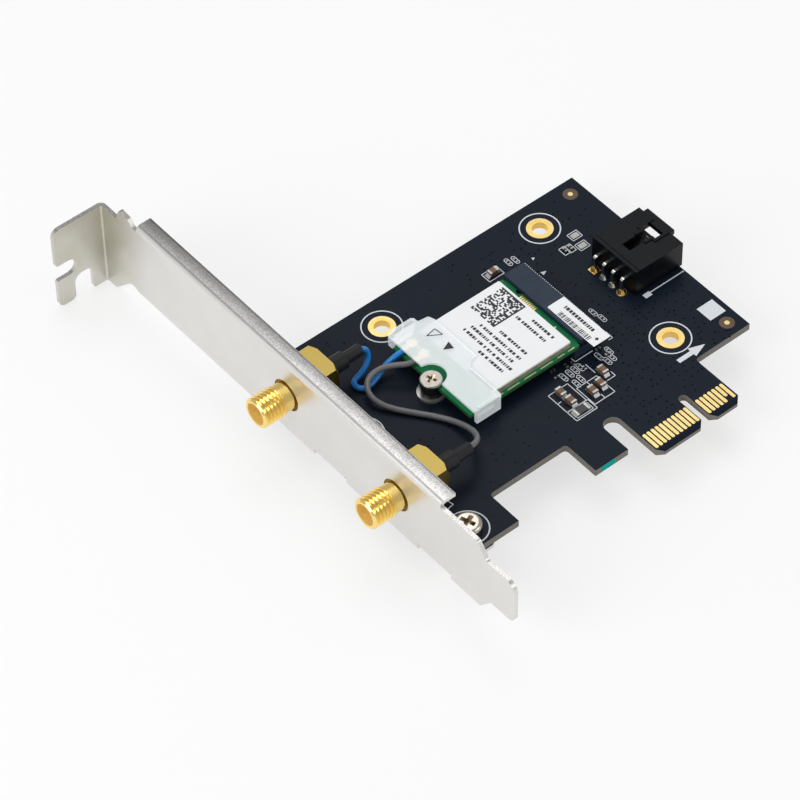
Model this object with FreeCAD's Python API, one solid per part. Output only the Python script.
import FreeCAD, Part
import math
import os
from FreeCAD import Vector, Rotation, Placement

# A wireless network expansion card: a printed board with a slot edge, a folded
# steel bracket, two threaded antenna jacks and a small radio module in a socket.
# Frame: X runs along the board away from the bracket and is 0 at the centre of
# the key notch, Y runs up the card from the slot edge, Z is 0 on the face that
# carries the components. Sizes are millimetres.

# Board
BOARD_T = 1.57
BOARD_LEFT = -56.21
BOARD_RIGHT = 22.0
BOARD_TOP = 63.2
SHOULDER_Y = 12.9
TONGUE_LEFT = -12.15
TONGUE_RIGHT = 8.25
TONGUE_CHAMFER = 1.25
TONGUE_BEVEL = 0.35
BEVEL_RISE = 1.1
KEY_W = 1.9
KEY_DEPTH = 8.0
KEY_CHAMFER = 1.2
GUIDE_GAP = 3.75
GUIDE_GAP_TOP = 12.6
GUIDE_W = 7.9
GUIDE_BOTTOM = 4.55
RECESS_TOP = 12.75
LOWER_TAB_RIGHT = -42.1
LOWER_TAB_BOTTOM = 4.65

# Gold contacts of the slot edge
PAD_PITCH = 1.0
PAD_W = 0.7
PAD_LEN = 4.1
SHORT_PAD_LEN = 3.0
PAD_BOTTOM = 1.3
PAD_T = 0.04
PADS_BEFORE_KEY = 11
PADS_AFTER_KEY = 7
PAD_TO_KEY = 1.5

# Ringed mounting holes
MOUNT_HOLE_D = 3.2
RING_HOLE_D = 3.9
RING_D = 5.3
MOUNT_HOLE_X = 8.35
MOUNT_HOLE_Y = 56.92
MOUNT_SPACING_X = 39.1
MOUNT_SPACING_Y = 37.07

# Bracket
SHEET = 0.86
BRACKET_LEN = 120.02
BRACKET_W = 18.42
BRACKET_GAP = 0.94
BRACKET_BOTTOM = -3.9
FOLD_TOP = 107.54
INNER_BEND = 0.44
LIP_DEPTH = 3.57
LIP_START = 7.6
LIP_END = 95.8
TAB_REACH = 11.43
TAB_LOW = -8.6
TAB_HIGH = 11.8
SCREW_SLOT_Z = 0.5
SCREW_SLOT_W = 3.9
SCREW_SLOT_DEPTH = 4.6
NOTCH_X = -63.4
NOTCH_W = 4.2
NOTCH_TOP = -2.6
TONGUE_LOW = -0.3
TONGUE_W = 10.19
FOOT_W = 8.0
FOOT_PAST_SCREW = 3.7
FOOT_RELIEF = 0.6
COLLAR_D = 5.2
BRACKET_SCREW_X = -50.2
BRACKET_SCREW_Y = 9.3
BRACKET_SCREW_SPACING = 29.5
BRACKET_SCREW_D = 2.9
BRACKET_SCREW_HOLE = 3.2
BRACKET_HEAD_D = 5.5
BRACKET_HEAD_H = 1.9

# Antenna jacks
JACK_Y = 19.9
JACK_SPACING = 31.3
JACK_Z = 5.6
JACK_HOLE_D = 6.8
JACK_BODY_W = 8.0
JACK_BODY_LEN = 8.4
JACK_SMOOTH_D = 5.7
JACK_THREAD_D = 6.25
JACK_ROOT_D = 5.5
JACK_REACH = 7.2
JACK_THREAD_LEN = 4.2
JACK_RIDGES = 5
JACK_BORE_D = 4.6
JACK_BORE_DEPTH = 5.0
INSULATOR_LEN = 2.0
CENTRE_PIN_D = 0.95
CENTRE_PIN_LEN = 4.2

# Sleeves and leads
SLEEVE_BIG_D = 3.6
SLEEVE_BIG_LEN = 4.4
SLEEVE_SMALL_D = 2.5
SLEEVE_SMALL_LEN = 3.8
LEAD_D = 1.15
LEAD_IN_JACK = 3.0
LEAD_BORE_CLEAR = 0.1

# Module, its socket and its fixings
MODULE_Y = 38.3
MODULE_LEN = 30.0
MODULE_W = 22.0
MODULE_T = 0.8
MODULE_EDGE_X = -4.3
MODULE_BOTTOM = 2.3
MODULE_STEP = 1.1
MODULE_STEP_LEN = 3.3
MODULE_KEY_IN = 4.4
MODULE_KEY_W = 1.2
MODULE_KEY_DEPTH = 3.6
SCREW_NOTCH_R = 1.75
SHIELD_LEFT = -28.5
SHIELD_RIGHT = -9.05
SHIELD_MARGIN = 0.7
SHIELD_H = 1.3
LABEL_T = 0.08
LABEL_MARGIN = 0.15
SOCKET_H = 4.2
SOCKET_MARGIN = 0.05
SOCKET_BACK = -2.3
SOCKET_BASE_DEPTH = 6.5
SOCKET_LIP_DEPTH = 5.0
SLOT_CLEAR = 0.06
SOCKET_FLOOR_DEPTH = 1.9
LEG_PITCH = 0.5
LEG_COUNT = 38
LEG_LEN = 1.1
STANDOFF_D = 4.3
STANDOFF_FLANGE_D = 5.6
STANDOFF_FLANGE_H = 0.45
STANDOFF_SPIGOT_D = 3.3
STANDOFF_BORE_D = 2.0
MODULE_SCREW_HEAD_D = 4.6
MODULE_SCREW_HEAD_H = 0.85
MODULE_SCREW_D = 1.9
STICKER_X = -6.6
STICKER_OVERHANG = 2.75
STICKER_LEN = 13.1
STICKER_W = 4.1

# Receptacles and plugs of the two leads, and the clear holder over them
PLUG_X = -31.7
BLUE_PLUG_IN = 2.3
GREY_PLUG_IN = 5.7
RECEPTACLE_D = 1.5
RECEPTACLE_BASE = 2.2
RECEPTACLE_BASE_H = 0.3
RECEPTACLE_H = 0.75
PLUG_D = 2.2
PLUG_H = 1.0
PLUG_CLEAR = 0.05
CRIMP_LEN = 2.3
CRIMP_WALL = 0.18
HOLDER_WALL = 0.5
HOLDER_LEFT = -34.2
HOLDER_RIGHT = -27.6
HOLDER_BELOW = 1.4
HOLDER_ABOVE = 2.1
HOLDER_OVERLAP = 2.7
HOLDER_STEP = 9.2
HOLDER_SKIRT = 0.8
HOLDER_HOOK = 0.7
HOLDER_HOOK_H = 0.5
HOLDER_CLEAR = 0.1
HOLDER_RAISE = 0.3
HOLDER_SCREW_R = 2.9

# Four-way right-angle header
HEADER_Y = 38.2
HEADER_LEFT = 10.5
HEADER_DEPTH = 11.8
HEADER_W = 12.35
HEADER_TOP = 6.3
HEADER_BOTTOM = 0.4
HEADER_WALL = 1.1
HEADER_BACK_WALL = 2.6
HEADER_SLOT_W = 2.2
HEADER_SLOT_LEFT = 13.4
WINDOW_W = 3.8
WINDOW_LEFT = 19.1
WINDOW_LEN = 2.1
BRIDGE_W = 7.5
BRIDGE_REACH = 1.1
BRIDGE_Y = 39.4
PIN_PITCH = 2.54
PIN_COUNT = 4
PIN_W = 0.64
PIN_Z = 3.4
PIN_DROP_X = 9.15
PIN_REACH = 20.2
PIN_TAIL = 2.6
PIN_CLEAR = 0.02
PIN_HOLE_D = 1.05
SOLDER_D = 1.75
SOLDER_H = 0.75

# Chip parts
CHIP_LEN = 2.0
CHIP_W = 1.25
CHIP_H = 1.15
CHIP_END = 0.42
CAPACITORS = [(-6.2, 53.7, 0), (-7.0, 21.6, 90), (-9.4, 19.5, 90), (-11.7, 19.1, 90),
              (-16.5, 22.5, 90), (-16.4, 19.8, 90)]
RESISTOR_LEN = 3.1
RESISTOR_W = 1.6
RESISTOR_H = 0.5
RESISTOR_END = 0.5
RESISTORS = [(-16.2, 17.1, 0)]
SMALL_LEN = 1.0
SMALL_W = 0.5
SMALL_H = 0.45
SMALL_END = 0.22
CHIP_BY_SOCKET = 0.95
NEXT_BY_SOCKET = 3.05

FACE = SHEET + INNER_BEND
INNER_X = BOARD_LEFT - BRACKET_GAP
OUTER_X = INNER_X - SHEET
BRACKET_TOP = BRACKET_BOTTOM + BRACKET_W
FLAT_TOP = BRACKET_TOP - FACE
TIP_Y = FOLD_TOP - BRACKET_LEN
MODULE_LOW = MODULE_Y - MODULE_W / 2
MODULE_HIGH = MODULE_Y + MODULE_W / 2
MODULE_KEY_Y = MODULE_HIGH - MODULE_KEY_IN
SHIELD_W = MODULE_W - 2 * SHIELD_MARGIN
SOCKET_W = MODULE_W - 2 * SOCKET_MARGIN
SOCKET_LOW = MODULE_Y - SOCKET_W / 2
STICKER_Y = SOCKET_LOW - STICKER_OVERHANG
BLUE_PLUG_Y = MODULE_HIGH - BLUE_PLUG_IN
GREY_PLUG_Y = MODULE_HIGH - GREY_PLUG_IN
HOLDER_LOW_Y = MODULE_LOW - HOLDER_BELOW
HOLDER_HIGH_Y = MODULE_HIGH + HOLDER_ABOVE
HOLDER_STEP_Y = HOLDER_LOW_Y + HOLDER_STEP
MODULE_TOP = MODULE_BOTTOM + MODULE_T
MODULE_END_X = MODULE_EDGE_X - MODULE_LEN
SHIELD_TOP = MODULE_TOP + SHIELD_H
JACKS = {"lower": JACK_Y, "upper": JACK_Y + JACK_SPACING}
BRACKET_SCREWS = [BRACKET_SCREW_Y, BRACKET_SCREW_Y + BRACKET_SCREW_SPACING]
RINGED_HOLES = [(MOUNT_HOLE_X, MOUNT_HOLE_Y), (MOUNT_HOLE_X - MOUNT_SPACING_X, MOUNT_HOLE_Y),
               (MOUNT_HOLE_X, MOUNT_HOLE_Y - MOUNT_SPACING_Y)]
SMALL_CHIPS = [(9.3, 49.2, 90), (8.1, 49.4, 90), (-13.4, 29.6, 0), (-13.9, 27.8, 0), (-14.4, 26.0, 0),
               (-11.2, 27.0, 90), (-9.9, 26.6, 90), (-3.9, SOCKET_LOW - CHIP_BY_SOCKET, 0),
               (-3.4, SOCKET_LOW - NEXT_BY_SOCKET, 0), (-9.0, 24.4, 90)]
JACK_REAR_X = INNER_X + JACK_BODY_LEN
SLEEVE_END_X = JACK_REAR_X + SLEEVE_BIG_LEN + SLEEVE_SMALL_LEN
LEAD_START_X = JACK_REAR_X - LEAD_IN_JACK
LEAD_END_X = PLUG_X - RECEPTACLE_BASE / 2 - LEAD_BORE_CLEAR

# Each lead runs from its sleeve to its plug; the points were chosen to follow the real lead.
LEAD_REST = LEAD_D / 2 + 0.05
PLUG_LEAD_Z = MODULE_TOP + LEAD_D / 2 + 0.15
UPPER = JACKS["upper"]
LOWER = JACKS["lower"]
BLUE_ROUTE = [(LEAD_START_X, UPPER, JACK_Z), (-47.6, UPPER, JACK_Z), (-43.4, UPPER + 0.04, 5.6),
              (-39.7, UPPER - 0.05, 5.55), (-39.1, UPPER - 0.7, 3.6), (-40.4, UPPER - 1.4, 1.9),
              (-42.2, UPPER - 1.7, 1.1), (-44.3, UPPER - 2.0, 0.66), (-44.2, 46.9, LEAD_REST),
              (-42.0, 46.5, 0.7), (-39.6, 47.2, 1.0), (-37.3, 47.7, 2.1),
              (-34.9, BLUE_PLUG_Y, PLUG_LEAD_Z), (LEAD_END_X, BLUE_PLUG_Y, PLUG_LEAD_Z)]
GREY_ROUTE = [(LEAD_START_X, LOWER, JACK_Z), (-47.6, LOWER, JACK_Z), (-43.4, LOWER + 0.03, 5.6),
              (-39.2, LOWER + 0.1, 5.5), (-37.2, 21.7, 4.1), (-35.9, 24.4, 2.6), (-35.7, 27.4, 1.5),
              (-36.4, 30.4, 0.8), (-38.0, 33.2, LEAD_REST), (-39.9, 35.7, LEAD_REST), (-42.0, 38.4, 0.7),
              (-43.9, 41.2, 1.1), (-44.5, 43.9, 1.8), (-43.4, 46.1, 2.4), (-41.2, 47.2, 2.7),
              (-38.8, 46.9, 2.9), (-36.8, 45.4, 3.4), (-34.9, GREY_PLUG_Y, PLUG_LEAD_Z),
              (LEAD_END_X, GREY_PLUG_Y, PLUG_LEAD_Z)]


def corner_arc(before, at, after, radius):
    """The start, middle and end of the arc that rounds one corner of a path."""
    to_before = (before - at).normalize()
    to_after = (after - at).normalize()
    half = to_before.getAngle(to_after) / 2
    back = radius / math.tan(half)
    bisector = (to_before + to_after).normalize()
    centre = at + bisector * (radius / math.sin(half))
    return at + to_before * back, centre - bisector * radius, at + to_after * back


def rounded_wire(corners, to_vector):
    """A closed wire through (u, v, radius) corners; a radius of 0 stays sharp."""
    points = [to_vector(u, v) for u, v, r in corners]
    count = len(points)
    stops = []
    for i in range(count):
        radius = corners[i][2]
        if radius > 0:
            stops.append(corner_arc(points[i - 1], points[i], points[(i + 1) % count], radius))
        else:
            stops.append((points[i],))
    edges = []
    for i in range(count):
        here = stops[i]
        following = stops[(i + 1) % count]
        if len(here) == 3:
            edges.append(Part.Arc(here[0], here[1], here[2]).toShape())
        if (following[0] - here[-1]).Length > 1e-6:
            edges.append(Part.LineSegment(here[-1], following[0]).toShape())
    return Part.Wire(edges)


def plate_xy(corners, z, thickness):
    """A flat plate with its outline in X and Y."""
    wire = rounded_wire(corners, lambda u, v: Vector(u, v, z))
    return Part.Face(wire).extrude(Vector(0, 0, thickness))


def plate_yz(corners, x, thickness):
    """An upright plate with its outline in Y and Z."""
    wire = rounded_wire(corners, lambda u, v: Vector(x, u, v))
    return Part.Face(wire).extrude(Vector(thickness, 0, 0))


def plate_xz(corners, y, thickness):
    """A cross plate with its outline in X and Z."""
    wire = rounded_wire(corners, lambda u, v: Vector(u, y, v))
    return Part.Face(wire).extrude(Vector(0, thickness, 0))


def block(x0, x1, y0, y1, z0, z1):
    return Part.makeBox(x1 - x0, y1 - y0, z1 - z0, Vector(x0, y0, z0))


def upright(x, y, z0, z1, diameter):
    """A vertical cylinder."""
    return Part.makeCylinder(diameter / 2, z1 - z0, Vector(x, y, z0))


def along_x(x0, x1, y, z, diameter):
    """A cylinder along the jack's direction."""
    return Part.makeCylinder(diameter / 2, x1 - x0, Vector(x0, y, z), Vector(1, 0, 0))


def quarter_bend(centre, start, axis, length):
    """A quarter of a tube of sheet: the bend between two flats. The strip of metal
    starts at the direction given and turns 90 degrees about the axis."""
    side = axis.cross(start)
    corners = []
    for radius in (INNER_BEND, FACE):
        middle = (start + side).normalize() * radius
        corners.append((centre + start * radius, centre + middle, centre + side * radius))
    inner, outer = corners
    edges = [Part.Arc(inner[0], inner[1], inner[2]).toShape(),
             Part.LineSegment(inner[2], outer[2]).toShape(),
             Part.Arc(outer[2], outer[1], outer[0]).toShape(),
             Part.LineSegment(outer[0], inner[0]).toShape()]
    return Part.Face(Part.Wire(edges)).extrude(axis * length)


def board_outline():
    chamfer = TONGUE_CHAMFER
    half_key = KEY_W / 2
    guide_right = TONGUE_LEFT - GUIDE_GAP
    guide_left = guide_right - GUIDE_W
    gap_round = GUIDE_GAP / 2 - 0.01
    key_round = half_key - 0.01
    return [(BOARD_LEFT, LOWER_TAB_BOTTOM, 0), (LOWER_TAB_RIGHT, LOWER_TAB_BOTTOM, 0),
            (LOWER_TAB_RIGHT, RECESS_TOP, 0.8), (guide_left, RECESS_TOP, 0.8),
            (guide_left, GUIDE_BOTTOM, 0), (guide_right, GUIDE_BOTTOM, 0),
            (guide_right, GUIDE_GAP_TOP, gap_round), (TONGUE_LEFT, GUIDE_GAP_TOP, gap_round),
            (TONGUE_LEFT, chamfer, 0), (TONGUE_LEFT + chamfer, 0, 0),
            (-half_key - KEY_CHAMFER, 0, 0), (-half_key, KEY_CHAMFER, 0),
            (-half_key, KEY_DEPTH, key_round), (half_key, KEY_DEPTH, key_round),
            (half_key, KEY_CHAMFER, 0), (half_key + KEY_CHAMFER, 0, 0),
            (TONGUE_RIGHT - chamfer, 0, 0), (TONGUE_RIGHT, chamfer, 0), (TONGUE_RIGHT, SHOULDER_Y, 0.8),
            (BOARD_RIGHT, SHOULDER_Y, 0), (BOARD_RIGHT, BOARD_TOP, 0), (BOARD_LEFT, BOARD_TOP, 0)]


def pin_positions():
    first = HEADER_Y - PIN_PITCH * (PIN_COUNT - 1) / 2
    return [first + PIN_PITCH * i for i in range(PIN_COUNT)]


def circuit_board():
    board = plate_xy(board_outline(), -BOARD_T, BOARD_T)
    tools = []
    for z_edge, z_in in ((0, -TONGUE_BEVEL), (-BOARD_T, TONGUE_BEVEL - BOARD_T)):
        wedge = [Vector(TONGUE_LEFT - 1, -1, z_edge), Vector(TONGUE_LEFT - 1, BEVEL_RISE, z_edge),
                 Vector(TONGUE_LEFT - 1, 0, z_in), Vector(TONGUE_LEFT - 1, -1, z_in)]
        face = Part.Face(Part.makePolygon(wedge + [wedge[0]]))
        tools.append(face.extrude(Vector(TONGUE_RIGHT - TONGUE_LEFT + 2, 0, 0)))
    for x, y in RINGED_HOLES:
        tools.append(upright(x, y, -BOARD_T - 1, 1, MOUNT_HOLE_D))
    for y in BRACKET_SCREWS:
        tools.append(upright(BRACKET_SCREW_X, y, -BOARD_T - 1, 1, BRACKET_SCREW_HOLE))
    for y in pin_positions():
        tools.append(upright(PIN_DROP_X, y, -BOARD_T - 1, 1, PIN_HOLE_D))
    return board.cut(Part.makeCompound(tools))


def edge_pads():
    """Two rows of rounded gold pads; one short pad on each face."""
    firsts = [-PAD_TO_KEY - PAD_PITCH * i for i in reversed(range(PADS_BEFORE_KEY))]
    lasts = [PAD_TO_KEY + PAD_PITCH * i for i in range(PADS_AFTER_KEY)]
    xs = firsts + lasts
    pads = []
    for z, short in ((0, len(xs) - 2), (-BOARD_T - PAD_T, 0)):
        for i, x in enumerate(xs):
            top = PAD_BOTTOM + PAD_LEN
            low = top - (SHORT_PAD_LEN if i == short else PAD_LEN)
            half = PAD_W / 2
            r = half - 0.02
            corners = [(x - half, low, r), (x + half, low, r), (x + half, top, r), (x - half, top, r)]
            pads.append(plate_xy(corners, z, PAD_T))
    return Part.makeCompound(pads)


def hole_rings():
    """Flat gold rings round the mounting holes, on both faces of the board."""
    rings = []
    for x, y in RINGED_HOLES:
        for z in (0, -BOARD_T - PAD_T):
            ring = upright(x, y, z, z + PAD_T, RING_D)
            rings.append(ring.cut(upright(x, y, z - 1, z + 1, RING_HOLE_D)))
    return Part.makeCompound(rings)


def bracket_face():
    """The long flat of the bracket, from the fold down to the tongue's tip."""
    top = FOLD_TOP - FACE
    tongue_top = TONGUE_LOW + TONGUE_W
    outline = [(top, TAB_LOW, 0), (103.9, TAB_LOW, 1.5), (98.4, -2.8, 2.0), (96.7, BRACKET_BOTTOM, 0),
               (-3.3, BRACKET_BOTTOM, 0), (-6.2, TONGUE_LOW, 0.5), (TIP_Y, TONGUE_LOW, 1.6),
               (TIP_Y, tongue_top, 2.2), (-4.9, tongue_top, 1.0), (-2.4, FLAT_TOP, 0.8),
               (LIP_END + 1.1, FLAT_TOP, 0), (LIP_END + 2.6, FLAT_TOP + 1.4, 0.7),
               (LIP_END + 5.1, FLAT_TOP + 1.7, 0.7), (LIP_END + 6.4, TAB_HIGH, 0.8), (top, TAB_HIGH, 0)]
    return plate_yz(outline, OUTER_X, SHEET)


def bracket_lip():
    """The stiffening lip along the front edge, folded towards the board."""
    length = LIP_END - LIP_START
    centre = Vector(INNER_X + INNER_BEND, LIP_START, FLAT_TOP)
    bend = quarter_bend(centre, Vector(-1, 0, 0), Vector(0, 1, 0), length)
    flat = block(centre.x, OUTER_X + LIP_DEPTH, LIP_START, LIP_END, BRACKET_TOP - SHEET, BRACKET_TOP)
    return bend.fuse(flat)


def bracket_tab():
    """The tab that the case's screw holds, folded outwards at the top."""
    centre = Vector(OUTER_X - INNER_BEND, FOLD_TOP - FACE, TAB_LOW)
    bend = quarter_bend(centre, Vector(1, 0, 0), Vector(0, 0, 1), TAB_HIGH - TAB_LOW)
    end = OUTER_X - TAB_REACH
    low = SCREW_SLOT_Z - SCREW_SLOT_W / 2
    high = SCREW_SLOT_Z + SCREW_SLOT_W / 2
    inner = end + SCREW_SLOT_DEPTH
    near = NOTCH_X + NOTCH_W / 2
    far = NOTCH_X - NOTCH_W / 2
    round_slot = SCREW_SLOT_W / 2 - 0.1
    outline = [(centre.x, TAB_LOW, 0), (near, TAB_LOW, 0.6), (near, NOTCH_TOP, 1.5), (far, NOTCH_TOP, 1.9),
               (far, TAB_LOW, 1.2), (end, TAB_LOW, 1.4), (end, low, 0.6), (inner, low, round_slot),
               (inner, high, round_slot), (end, high, 0.6), (end, TAB_HIGH, 1.8), (centre.x, TAB_HIGH, 0)]
    flat = plate_xz(outline, FOLD_TOP - SHEET, SHEET)
    return bend.fuse(flat)


def bracket_foot(y):
    """A foot folded under the board, with a collar that takes the screw."""
    centre = Vector(INNER_X + INNER_BEND, y - FOOT_W / 2, BRACKET_BOTTOM + FACE)
    bend = quarter_bend(centre, Vector(0, 0, -1), Vector(0, 1, 0), FOOT_W)
    end = BRACKET_SCREW_X + FOOT_PAST_SCREW
    outline = [(centre.x, y - FOOT_W / 2, 0), (end, y - FOOT_W / 2, 1.5), (end, y + FOOT_W / 2, 1.5),
               (centre.x, y + FOOT_W / 2, 0)]
    flat = plate_xy(outline, BRACKET_BOTTOM, SHEET)
    collar = upright(BRACKET_SCREW_X, y, BRACKET_BOTTOM, -BOARD_T, COLLAR_D)
    return bend.fuse([flat, collar])


def bracket():
    body = bracket_face()
    cuts = []
    for y in BRACKET_SCREWS:
        low = y - FOOT_W / 2 - FOOT_RELIEF
        high = y + FOOT_W / 2 + FOOT_RELIEF
        cuts.append(block(OUTER_X - 1, INNER_X + 1, low, high, BRACKET_BOTTOM - 1, BRACKET_BOTTOM + FACE))
    for y in JACKS.values():
        cuts.append(along_x(OUTER_X - 1, INNER_X + 1, y, JACK_Z, JACK_HOLE_D))
    body = body.cut(Part.makeCompound(cuts))
    feet = [bracket_foot(y) for y in BRACKET_SCREWS]
    body = body.fuse([bracket_lip(), bracket_tab()] + feet)
    bore_d = BRACKET_SCREW_D + 0.1
    bores = [upright(BRACKET_SCREW_X, y, BRACKET_BOTTOM - 1, 0, bore_d) for y in BRACKET_SCREWS]
    return body.cut(Part.makeCompound(bores)).removeSplitter()


def cross_recess(x, y, top, reach, depth):
    """A tapered cross for a screwdriver, narrower at its floor."""
    arms = []
    for turn in (0, 90):
        width = reach * 0.3
        upper = [(-reach, -width, 0), (reach, -width, 0), (reach, width, 0), (-reach, width, 0)]
        shapes = []
        for scale, z in ((1.0, top + 0.01), (0.45, top - depth)):
            points = [Vector(u * scale, v * scale, z) for u, v, w in upper]
            shapes.append(Part.makePolygon(points + [points[0]]))
        arm = Part.makeLoft(shapes, True, True)
        arm.Placement = Placement(Vector(x, y, 0), Rotation(Vector(0, 0, 1), turn + 20))
        arms.append(arm)
    return arms[0].fuse(arms[1])


def dome_head(x, y, z, diameter, height):
    """A screw head with a rounded crown."""
    head = upright(x, y, z, z + height, diameter)
    top_edge = [e for e in head.Edges if abs(e.CenterOfMass.z - z - height) < 1e-6 and e.isClosed()]
    return head.makeFillet(height * 0.45, top_edge)


def bracket_screws():
    screws = []
    for y in BRACKET_SCREWS:
        head = dome_head(BRACKET_SCREW_X, y, 0, BRACKET_HEAD_D, BRACKET_HEAD_H)
        shank = upright(BRACKET_SCREW_X, y, BRACKET_BOTTOM, 0, BRACKET_SCREW_D)
        reach = BRACKET_HEAD_D * 0.28
        cross = cross_recess(BRACKET_SCREW_X, y, BRACKET_HEAD_H, reach, BRACKET_HEAD_H * 0.6)
        screws.append(head.fuse(shank).cut(cross))
    return Part.makeCompound(screws)


def ridge_profile(front):
    """The jack's outside, from its tip to the bracket: ridges, then a plain neck."""
    step = JACK_THREAD_LEN / JACK_RIDGES
    crest = JACK_THREAD_D / 2
    root = JACK_ROOT_D / 2
    points = [(front, crest - 0.3), (front + 0.3, crest)]
    for i in range(JACK_RIDGES):
        x = front + 0.3 + i * step
        points += [(x + step * 0.35, crest), (x + step * 0.6, root)]
        points += [(x + step * 0.75, root), (x + step, crest)]
    points += [(front + 0.6 + JACK_THREAD_LEN, crest), (front + 0.9 + JACK_THREAD_LEN, JACK_SMOOTH_D / 2)]
    return points


def antenna_jack(y):
    front = OUTER_X - JACK_REACH
    points = ridge_profile(front) + [(INNER_X, JACK_SMOOTH_D / 2)]
    profile = [Vector(front, y, JACK_Z)]
    profile += [Vector(x, y, JACK_Z + r) for x, r in points]
    profile += [Vector(INNER_X, y, JACK_Z)]
    face = Part.Face(Part.makePolygon(profile + [profile[0]]))
    barrel = face.revolve(Vector(0, y, JACK_Z), Vector(1, 0, 0), 360)
    half = JACK_BODY_W / 2
    rear = INNER_X + JACK_BODY_LEN
    body = block(INNER_X, rear, y - half, y + half, JACK_Z - half, JACK_Z + half)
    corner = half * math.sqrt(2)
    cone = Part.makeCone(corner + JACK_BODY_LEN * 1.2, corner * 0.82, JACK_BODY_LEN,
                         Vector(INNER_X, y, JACK_Z), Vector(1, 0, 0))
    body = body.common(cone)
    bore = along_x(front - 1, front + JACK_BORE_DEPTH, y, JACK_Z, JACK_BORE_D)
    seat = along_x(front, front + JACK_BORE_DEPTH + INSULATOR_LEN, y, JACK_Z, JACK_BORE_D * 0.8)
    lead_bore = along_x(LEAD_START_X, rear + 1, y, JACK_Z, LEAD_D + 2 * LEAD_BORE_CLEAR)
    return barrel.fuse(body).cut(bore).cut(seat).cut(lead_bore)


def jack_insulators():
    discs = []
    for y in JACKS.values():
        start = OUTER_X - JACK_REACH + JACK_BORE_DEPTH
        disc = along_x(start, start + INSULATOR_LEN, y, JACK_Z, JACK_BORE_D * 0.8)
        discs.append(disc.cut(along_x(start - 1, start + INSULATOR_LEN + 1, y, JACK_Z, CENTRE_PIN_D)))
    return Part.makeCompound(discs)


def jack_centre_pins():
    pins = []
    for y in JACKS.values():
        end = OUTER_X - JACK_REACH + JACK_BORE_DEPTH + INSULATOR_LEN
        pin = along_x(end - INSULATOR_LEN - CENTRE_PIN_LEN + 1.0, end, y, JACK_Z, CENTRE_PIN_D)
        tip = min(pin.Edges, key=lambda e: e.CenterOfMass.x)
        pins.append(pin.makeChamfer(CENTRE_PIN_D * 0.25, [tip]))
    return Part.makeCompound(pins)


def lead_sleeve(y):
    """A black two-step sleeve shrunk onto the rear of the jack."""
    start = INNER_X + JACK_BODY_LEN
    middle = start + SLEEVE_BIG_LEN
    big = along_x(start, middle, y, JACK_Z, SLEEVE_BIG_D)
    big_edge = max(big.Edges, key=lambda e: e.CenterOfMass.x)
    big = big.makeFillet(0.45, [big_edge])
    small = along_x(middle - 0.2, SLEEVE_END_X, y, JACK_Z, SLEEVE_SMALL_D)
    small_edge = max(small.Edges, key=lambda e: e.CenterOfMass.x)
    small = small.makeFillet(0.3, [small_edge])
    lead_bore = along_x(start - 1, SLEEVE_END_X + 1, y, JACK_Z, LEAD_D + 2 * LEAD_BORE_CLEAR)
    return big.fuse(small).cut(lead_bore)


def lead(name, route):
    """A round lead: straight runs joined by arcs as large as the runs allow."""
    points = [Vector(*p) for p in route]
    edges = []
    here = points[0]
    radii = []
    for i in range(1, len(points) - 1):
        before = points[i] - points[i - 1]
        after = points[i + 1] - points[i]
        turn = before.getAngle(after)
        radius = 0.45 * min(before.Length, after.Length) / math.tan(turn / 2)
        radii.append(radius)
        start, middle, end = corner_arc(points[i - 1], points[i], points[i + 1], radius)
        edges.append(Part.LineSegment(here, start).toShape())
        edges.append(Part.Arc(start, middle, end).toShape())
        here = end
    edges.append(Part.LineSegment(here, points[-1]).toShape())
    path = Part.Wire(edges)
    length = path.Length
    first = points[1] - points[0]
    ring = Part.Wire([Part.makeCircle(LEAD_D / 2, points[0], first)])
    tube = path.makePipeShell([ring], True, False)
    filled = tube.Volume / (length * math.pi * LEAD_D ** 2 / 4)
    print(name, "length", round(length, 1), "volume ratio", round(filled, 3))
    print(name, "radii", [round(r, 1) for r in radii])
    return tube


def module_board():
    low = MODULE_LOW
    high = MODULE_HIGH
    step_x = MODULE_EDGE_X - MODULE_STEP_LEN
    outline = [(MODULE_END_X, low, 0.3), (step_x, low, 0.3), (step_x, low + MODULE_STEP, 0.3),
               (MODULE_EDGE_X, low + MODULE_STEP, 0.3), (MODULE_EDGE_X, high - MODULE_STEP, 0.3),
               (step_x, high - MODULE_STEP, 0.3), (step_x, high, 0.3), (MODULE_END_X, high, 0.3)]
    board = plate_xy(outline, MODULE_BOTTOM, MODULE_T)
    screw_notch = upright(MODULE_END_X, MODULE_Y, MODULE_BOTTOM - 1, MODULE_TOP + 1, 2 * SCREW_NOTCH_R)
    w = MODULE_KEY_W / 2
    key = plate_xy([(MODULE_EDGE_X + 1, MODULE_KEY_Y - w, 0), (MODULE_EDGE_X + 1, MODULE_KEY_Y + w, 0),
                    (MODULE_EDGE_X - MODULE_KEY_DEPTH, MODULE_KEY_Y + w, w - 0.01),
                    (MODULE_EDGE_X - MODULE_KEY_DEPTH, MODULE_KEY_Y - w, w - 0.01)], MODULE_BOTTOM - 1, 3)
    return board.cut(Part.makeCompound([screw_notch, key]))


def module_shield():
    low = MODULE_Y - SHIELD_W / 2
    high = MODULE_Y + SHIELD_W / 2
    can = plate_xy([(SHIELD_LEFT, low, 0.5), (SHIELD_RIGHT, low, 0.5), (SHIELD_RIGHT, high, 0.5),
                    (SHIELD_LEFT, high, 0.5)], MODULE_TOP, SHIELD_H)
    top_edges = [e for e in can.Edges if abs(e.BoundBox.ZMin - SHIELD_TOP) < 1e-6]
    return can.makeFillet(0.15, top_edges)


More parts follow.
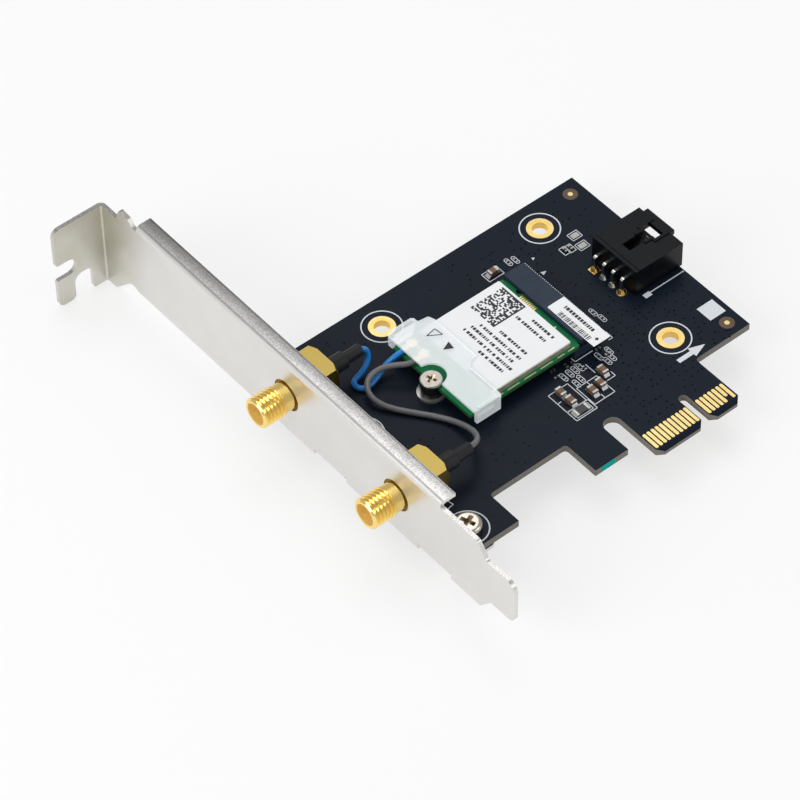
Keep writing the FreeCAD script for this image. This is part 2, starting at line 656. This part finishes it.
def module_label():
    low = MODULE_Y - SHIELD_W / 2 + LABEL_MARGIN
    high = MODULE_Y + SHIELD_W / 2 - LABEL_MARGIN
    left = SHIELD_LEFT + LABEL_MARGIN
    right = SHIELD_RIGHT - LABEL_MARGIN
    corners = [(left, low, 0.35), (right, low, 0.35), (right, high, 0.35), (left, high, 0.35)]
    return plate_xy(corners, SHIELD_TOP, LABEL_T)


def module_socket():
    """The edge socket: a floor, a back and a lip over the module's contact edge."""
    base = SOCKET_BACK - SOCKET_BASE_DEPTH
    lip = SOCKET_BACK - SOCKET_LIP_DEPTH
    slot_low = MODULE_BOTTOM - SLOT_CLEAR
    slot_high = MODULE_TOP + SLOT_CLEAR
    slot_back = MODULE_EDGE_X + SLOT_CLEAR
    section = [(base, 0, 0), (SOCKET_BACK, 0, 0), (SOCKET_BACK, SOCKET_H, 0.2),
               (lip, SOCKET_H, 0.2), (lip, slot_high, 0), (slot_back, slot_high, 0),
               (slot_back, slot_low, 0), (base, slot_low, 0)]
    body = plate_xz(section, SOCKET_LOW, SOCKET_W)
    rib = block(lip + 0.3, slot_back + 0.1, MODULE_KEY_Y - MODULE_KEY_W / 2 + 0.12,
                MODULE_KEY_Y + MODULE_KEY_W / 2 - 0.12, slot_low - 0.1, slot_high + 0.1)
    return body.fuse(rib)


def socket_legs():
    """A row of solder legs behind the socket."""
    first = MODULE_Y - LEG_PITCH * (LEG_COUNT - 1) / 2
    legs = []
    for i in range(LEG_COUNT):
        y = first + LEG_PITCH * i
        legs.append(block(SOCKET_BACK, SOCKET_BACK + LEG_LEN, y - 0.11, y + 0.11, 0, 0.16))
    return Part.makeCompound(legs)


def socket_sticker():
    return plate_xy([(STICKER_X, STICKER_Y, 0.2), (STICKER_X + STICKER_W, STICKER_Y, 0.2),
                     (STICKER_X + STICKER_W, STICKER_Y + STICKER_LEN, 0.2),
                     (STICKER_X, STICKER_Y + STICKER_LEN, 0.2)], SOCKET_H, LABEL_T)


def module_standoff():
    x = MODULE_END_X
    flange = upright(x, MODULE_Y, 0, STANDOFF_FLANGE_H, STANDOFF_FLANGE_D)
    post = upright(x, MODULE_Y, 0, MODULE_BOTTOM, STANDOFF_D)
    spigot = upright(x, MODULE_Y, 0, MODULE_TOP, STANDOFF_SPIGOT_D)
    bore = upright(x, MODULE_Y, 0.3, MODULE_TOP + 1, STANDOFF_BORE_D)
    return flange.fuse([post, spigot]).cut(bore)


def module_screw():
    x = MODULE_END_X
    head = dome_head(x, MODULE_Y, MODULE_TOP, MODULE_SCREW_HEAD_D, MODULE_SCREW_HEAD_H)
    shank = upright(x, MODULE_Y, 0.5, MODULE_TOP, MODULE_SCREW_D)
    cross = cross_recess(x, MODULE_Y, MODULE_TOP + MODULE_SCREW_HEAD_H, 1.1, 0.55)
    return head.fuse(shank).cut(cross)


def module_receptacles():
    parts = []
    for y in (BLUE_PLUG_Y, GREY_PLUG_Y):
        half = RECEPTACLE_BASE / 2
        base = block(PLUG_X - half, PLUG_X + half, y - half, y + half,
                     MODULE_TOP, MODULE_TOP + RECEPTACLE_BASE_H)
        ring = upright(PLUG_X, y, MODULE_TOP, MODULE_TOP + RECEPTACLE_H, RECEPTACLE_D)
        parts.append(base.fuse(ring))
    return Part.makeCompound(parts)


def lead_plug(y):
    """A snap-on cap with a crimped barrel that grips the lead."""
    low = MODULE_TOP + RECEPTACLE_BASE_H + PLUG_CLEAR
    cap = upright(PLUG_X, y, low, low + PLUG_H, PLUG_D)
    crimp_start = PLUG_X - CRIMP_LEN
    crimp_end = PLUG_X - RECEPTACLE_BASE / 2 - PLUG_CLEAR
    crimp = along_x(crimp_start, PLUG_X, y, PLUG_LEAD_Z, LEAD_D + 2 * CRIMP_WALL)
    outer = block(crimp_start, crimp_end, y - 2, y + 2, MODULE_TOP + PLUG_CLEAR, low + PLUG_H)
    neck = block(crimp_end, PLUG_X, y - 2, y + 2, low, low + PLUG_H)
    crimp = crimp.common(outer.fuse(neck))
    hollow = upright(PLUG_X, y, low - 1, MODULE_TOP + RECEPTACLE_H + PLUG_CLEAR,
                     RECEPTACLE_D + 2 * PLUG_CLEAR)
    lead_bore = along_x(crimp_start - 1, LEAD_END_X, y, PLUG_LEAD_Z, LEAD_D + 0.02)
    return cap.fuse(crimp).cut(hollow).cut(lead_bore)


def lead_plugs():
    return Part.makeCompound([lead_plug(BLUE_PLUG_Y), lead_plug(GREY_PLUG_Y)])


def holder_outline():
    """The holder seen from above: a plate with a thin tongue over the shield's label."""
    low = HOLDER_LOW_Y
    high = HOLDER_HIGH_Y
    side = HOLDER_RIGHT
    over = side + HOLDER_OVERLAP
    step = HOLDER_STEP_Y
    return [(HOLDER_LEFT, low, 0.8), (side, low, 0.8), (side, step, 0.4), (side + 1.2, step + 1.1, 0.4),
            (over, step + 1.3, 0.5), (over, high - 3.0, 0.5), (over - 0.5, high - 1.6, 0.5),
            (side - 0.1, high - 1.3, 0.4), (side - 0.1, high, 0.4), (HOLDER_LEFT, high, 0.8)]


def lead_holder():
    """A clear moulded clip that covers both plugs and hooks round the module's edges."""
    under = SHIELD_TOP + LABEL_T
    left = HOLDER_LEFT
    right = HOLDER_RIGHT - 0.5
    shapes = [plate_xy(holder_outline(), under, HOLDER_WALL)]
    hook_top = MODULE_BOTTOM - HOLDER_CLEAR
    hook_low = hook_top - HOLDER_HOOK_H
    rim = under + HOLDER_WALL + HOLDER_RAISE
    for outer, edge in ((HOLDER_LOW_Y, MODULE_LOW), (HOLDER_HIGH_Y, MODULE_HIGH)):
        toward = 1 if edge > outer else -1
        inner = outer + toward * HOLDER_SKIRT
        tip = edge + toward * HOLDER_HOOK
        near, far = sorted((outer, inner))
        shapes.append(block(left + 0.4, right, near, far, hook_low, under))
        shapes.append(block(left + 1.6, right - 0.8, *sorted((outer, tip)), hook_low, hook_top))
        shapes.append(block(left + 1.0, right - 0.2, near, far, under, rim))
    corner_low = HOLDER_HIGH_Y - HOLDER_SKIRT - 0.4
    corner_right = left + 0.4 + HOLDER_SKIRT
    shapes.append(block(left + 0.4, corner_right, corner_low, HOLDER_HIGH_Y, hook_low, under))
    body = shapes[0].fuse(shapes[1:])
    screw_gap = upright(MODULE_END_X, MODULE_Y, under - 1, under + 2, 2 * HOLDER_SCREW_R)
    return body.cut(screw_gap)


def header_housing():
    half = HEADER_W / 2
    low = HEADER_Y - half
    high = HEADER_Y + half
    right = HEADER_LEFT + HEADER_DEPTH
    body = block(HEADER_LEFT, right, low, high, HEADER_BOTTOM, HEADER_TOP)
    cavity = block(HEADER_LEFT + HEADER_BACK_WALL, right + 1, low + HEADER_WALL, high - HEADER_WALL,
                   HEADER_BOTTOM + HEADER_WALL, HEADER_TOP - HEADER_WALL)
    slot = block(HEADER_SLOT_LEFT, right + 1, HEADER_Y - HEADER_SLOT_W / 2, HEADER_Y + HEADER_SLOT_W / 2,
                 HEADER_TOP - HEADER_WALL - 1, HEADER_TOP + 1)
    window = block(WINDOW_LEFT, right + 1, HEADER_Y - WINDOW_W / 2, HEADER_Y + WINDOW_W / 2,
                   HEADER_TOP - HEADER_WALL - 1, HEADER_TOP + 1)
    holes = []
    for y in pin_positions():
        w = PIN_W / 2 + PIN_CLEAR
        holes.append(block(HEADER_LEFT - 1, HEADER_LEFT + HEADER_BACK_WALL + 1, y - w, y + w,
                           PIN_Z - w, PIN_Z + w))
    body = body.cut(Part.makeCompound([cavity, slot, window] + holes))
    bridge = block(WINDOW_LEFT + WINDOW_LEN, right + BRIDGE_REACH, BRIDGE_Y - BRIDGE_W / 2,
                   BRIDGE_Y + BRIDGE_W / 2, HEADER_TOP - HEADER_WALL, HEADER_TOP)
    foot = block(HEADER_LEFT, HEADER_LEFT + 2.0, low, high, 0, HEADER_BOTTOM)
    return body.fuse([bridge, foot])


def header_pins():
    """Square pins that leave the housing's back and bend down into the board."""
    pins = []
    w = PIN_W / 2
    for y in pin_positions():
        outline = [(PIN_DROP_X - w, -PIN_TAIL, 0.15), (PIN_DROP_X + w, -PIN_TAIL, 0.15),
                   (PIN_DROP_X + w, PIN_Z - w, 0.15), (PIN_REACH, PIN_Z - w, 0.2),
                   (PIN_REACH, PIN_Z + w, 0.2), (PIN_DROP_X - w, PIN_Z + w, PIN_W)]
        pins.append(plate_xz(outline, y - w, PIN_W))
    return Part.makeCompound(pins)


def solder_joints():
    """A small cone of solder round each pin."""
    joints = []
    w = PIN_W / 2
    for y in pin_positions():
        cone = Part.makeCone(SOLDER_D / 2, PIN_W * 0.75, SOLDER_H, Vector(PIN_DROP_X, y, 0))
        pin = block(PIN_DROP_X - w, PIN_DROP_X + w, y - w, y + w, -1, SOLDER_H + 1)
        joints.append(cone.cut(pin))
    return Part.makeCompound(joints)


def chip(place, length, width, height, end, part):
    """One chip part: its body, or its two metal ends."""
    x, y, turn = place
    half = length / 2
    if part == "body":
        shapes = [block(end - half, half - end, -width / 2, width / 2, 0, height)]
    else:
        shapes = [block(-half, end - half, -width / 2, width / 2, 0, height),
                  block(half - end, half, -width / 2, width / 2, 0, height)]
    spot = Placement(Vector(x, y, 0), Rotation(Vector(0, 0, 1), turn))
    for shape in shapes:
        shape.Placement = spot
    return shapes


def chips(places, length, width, height, end, part):
    shapes = []
    for place in places:
        shapes += chip(place, length, width, height, end, part)
    return shapes


def build_parts():
    capacitor = (CAPACITORS, CHIP_LEN, CHIP_W, CHIP_H, CHIP_END)
    resistor = (RESISTORS, RESISTOR_LEN, RESISTOR_W, RESISTOR_H, RESISTOR_END)
    small = (SMALL_CHIPS, SMALL_LEN, SMALL_W, SMALL_H, SMALL_END)
    ends = chips(*capacitor, "ends") + chips(*resistor, "ends") + chips(*small, "ends")
    return {
        "circuit_board": circuit_board(),
        "edge_contacts": edge_pads(),
        "mounting_hole_rings": hole_rings(),
        "bracket": bracket(),
        "bracket_screws": bracket_screws(),
        "antenna_jack_lower": antenna_jack(JACKS["lower"]),
        "antenna_jack_upper": antenna_jack(JACKS["upper"]),
        "jack_insulators": jack_insulators(),
        "jack_centre_pins": jack_centre_pins(),
        "lead_sleeve_lower": lead_sleeve(JACKS["lower"]),
        "lead_sleeve_upper": lead_sleeve(JACKS["upper"]),
        "grey_lead": lead("grey lead", GREY_ROUTE),
        "blue_lead": lead("blue lead", BLUE_ROUTE),
        "lead_plugs": lead_plugs(),
        "module_receptacles": module_receptacles(),
        "lead_holder": lead_holder(),
        "module_board": module_board(),
        "module_shield": module_shield(),
        "module_label": module_label(),
        "module_socket": module_socket(),
        "socket_legs": socket_legs(),
        "socket_sticker": socket_sticker(),
        "module_standoff": module_standoff(),
        "module_screw": module_screw(),
        "header_housing": header_housing(),
        "header_pins": header_pins(),
        "solder_joints": solder_joints(),
        "capacitor_bodies": Part.makeCompound(chips(*capacitor, "body")),
        "resistor_bodies": Part.makeCompound(chips(*resistor, "body") + chips(*small, "body")),
        "chip_ends": Part.makeCompound(ends),
    }


os.makedirs("parts", exist_ok=True)
for part_name, part_shape in build_parts().items():
    part_shape.exportStep("parts/" + part_name + ".step")
    print(part_name, "solids", len(part_shape.Solids), "valid", part_shape.isValid())
